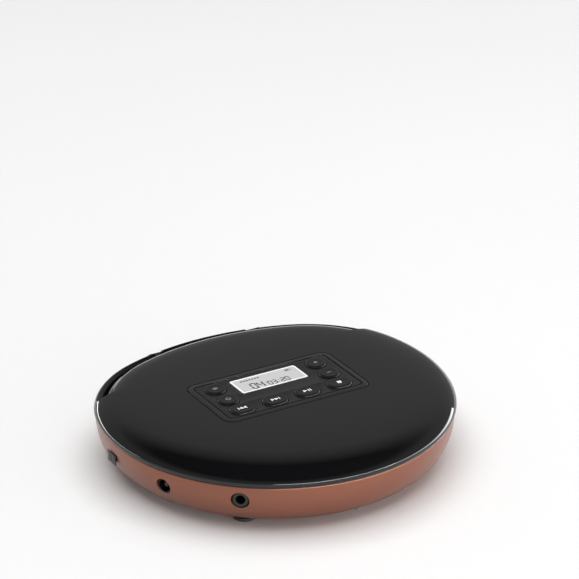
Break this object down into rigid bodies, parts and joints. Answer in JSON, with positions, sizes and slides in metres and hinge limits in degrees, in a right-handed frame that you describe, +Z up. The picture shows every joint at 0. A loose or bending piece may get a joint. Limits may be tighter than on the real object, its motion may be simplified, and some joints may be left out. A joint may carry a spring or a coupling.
{
  "type": "portable disc player",
  "caption": "Pocket disc player: round body with a flatter back, domed hinged lid with keypad and display, disc well with hub and sled pickup, battery bay below.",
  "frame": {"origin": "centre of the bounding box in plan, at the plane of the rubber feet", "axes": "+Z up, +Y towards the hinge, +X to the user's right"},
  "size_m": [0.14, 0.1298, 0.0285],
  "materials": {
    "copper_case": "satin metallic copper paint on moulded plastic",
    "gloss_black": "high gloss black",
    "deck_black": "fine matte texture",
    "panel_black": "satin black",
    "button_black": "semi-gloss black with white pictograms",
    "rubber": "matte rubber",
    "screw_steel": "bright steel",
    "circuit_board": "solder mask",
    "component_black": "moulded epoxy",
    "capacitor_sleeve": "shrink sleeve",
    "switch_metal": "nickel plate",
    "knob_black": "satin black",
    "cell_wrap": "plain printed sleeve",
    "chassis_steel": "zinc-plated sheet",
    "hub_black": "satin black",
    "gear_white": "natural acetal",
    "sled_grey": "die-cast grey",
    "lens_black": "matte black",
    "lens_glass": "coated lens",
    "lcd_clear": "clear acrylic",
    "lcd_grey": "light grey display glass with dark digits",
    "lcd_frame_white": "white plastic"
  },
  "bodies": {
    "base": {"lower_case": "copper_case", "rear_strip": "gloss_black", "deck": "deck_black", "rubber_feet": "rubber", "rubber_dampers": "rubber", "case_screws": "screw_steel", "hinge_pins": "screw_steel", "guide_rod_front": "screw_steel", "guide_rod_rear": "screw_steel", "main_board": "circuit_board", "board_chips": "component_black", "headphone_jack": "component_black", "dc_socket": "component_black", "lid_switch": "component_black", "board_capacitors": "capacitor_sleeve", "hold_switch": "switch_metal", "battery_plates": "switch_metal", "battery_springs": "switch_metal", "latch_spring": "switch_metal", "battery_1": "cell_wrap", "battery_2": "cell_wrap", "traverse_chassis": "chassis_steel", "spindle_motor": "chassis_steel", "sled_motor": "chassis_steel"},
    "lid": {"lid_shell": "gloss_black", "lid_liner": "deck_black", "lid_screws": "screw_steel", "keypad_panel": "panel_black", "lcd_window": "lcd_clear", "lcd_module": "lcd_grey", "lcd_frame": "lcd_frame_white", "lid_board": "circuit_board", "key_switches": "switch_metal"},
    "turntable": {"turntable": "hub_black", "disc_clamps": "hub_black"},
    "sled": {"pickup_sled": "sled_grey"},
    "lens": {"lens_holder": "lens_black", "objective_lens": "lens_glass"},
    "sled_gear": {"sled_gear": "gear_white"},
    "motor_pinion": {"motor_pinion": "gear_white"},
    "battery_door": {"battery_door": "copper_case"},
    "hold_knob": {"hold_knob": "knob_black"},
    "open_slider": {"open_slider": "knob_black"},
    "eq_button": {"eq_button": "button_black"},
    "mode_button": {"mode_button": "button_black"},
    "volume_up_button": {"volume_up_button": "button_black"},
    "volume_down_button": {"volume_down_button": "button_black"},
    "previous_button": {"previous_button": "button_black"},
    "next_button": {"next_button": "button_black"},
    "play_button": {"play_button": "button_black"},
    "stop_button": {"stop_button": "button_black"}
  },
  "joints": [
    {"name": "lid_hinge", "type": "hinge", "parent": "base", "child": "lid", "pos_m": [0, 0.0607, 0.022], "axis": [-1, 0, 0], "range_deg": [0, 75]},
    {"name": "turntable_spin", "type": "hinge", "parent": "base", "child": "turntable", "pos_m": [0, -0.0008, 0.0196], "axis": [0, 0, 1], "continuous": true},
    {"name": "pickup_slide", "type": "slide", "parent": "base", "child": "sled", "axis": [1, 0, 0], "range_m": [0, 0.032]},
    {"name": "lens_focus", "type": "slide", "parent": "sled", "child": "lens", "axis": [0, 0, 1], "range_m": [-0.0004, 0.0004], "stiffness_N_per_m": 60},
    {"name": "sled_gear_spin", "type": "hinge", "parent": "base", "child": "sled_gear", "pos_m": [0.028, -0.0214, 0.0094], "axis": [0, 0, 1], "range_deg": [-580, 10]},
    {"name": "motor_pinion_spin", "type": "hinge", "parent": "base", "child": "motor_pinion", "pos_m": [0.01721, -0.02666, 0.0094], "axis": [0, 0, 1], "range_deg": [-10, 1730]},
    {"name": "battery_door_slide", "type": "slide", "parent": "base", "child": "battery_door", "axis": [0, 1, 0], "range_m": [0, 0.045]},
    {"name": "hold_slide", "type": "slide", "parent": "base", "child": "hold_knob", "axis": [0, 1, 0], "range_m": [0, 0.0035]},
    {"name": "open_slide", "type": "slide", "parent": "base", "child": "open_slider", "axis": [0, 1, 0], "range_m": [0, 0.003], "stiffness_N_per_m": 200, "deforming": ["latch_spring"]},
    {"name": "eq_press", "type": "slide", "parent": "lid", "child": "eq_button", "axis": [0, 0, -1], "range_m": [0, 0.0005], "stiffness_N_per_m": 400},
    {"name": "mode_press", "type": "slide", "parent": "lid", "child": "mode_button", "axis": [0, 0, -1], "range_m": [0, 0.0005], "stiffness_N_per_m": 400},
    {"name": "volume_up_press", "type": "slide", "parent": "lid", "child": "volume_up_button", "axis": [0, 0, -1], "range_m": [0, 0.0005], "stiffness_N_per_m": 400},
    {"name": "volume_down_press", "type": "slide", "parent": "lid", "child": "volume_down_button", "axis": [0, 0, -1], "range_m": [0, 0.0005], "stiffness_N_per_m": 400},
    {"name": "previous_press", "type": "slide", "parent": "lid", "child": "previous_button", "axis": [0, 0, -1], "range_m": [0, 0.0005], "stiffness_N_per_m": 400},
    {"name": "next_press", "type": "slide", "parent": "lid", "child": "next_button", "axis": [0, 0, -1], "range_m": [0, 0.0005], "stiffness_N_per_m": 400},
    {"name": "play_press", "type": "slide", "parent": "lid", "child": "play_button", "axis": [0, 0, -1], "range_m": [0, 0.0005], "stiffness_N_per_m": 400},
    {"name": "stop_press", "type": "slide", "parent": "lid", "child": "stop_button", "axis": [0, 0, -1], "range_m": [0, 0.0005], "stiffness_N_per_m": 400}
  ],
  "couplings": [
    {"joint": "sled_gear_spin", "follows": "pickup_slide", "rad_per_m": -312.5},
    {"joint": "motor_pinion_spin", "follows": "pickup_slide", "rad_per_m": 937.5}
  ]
}
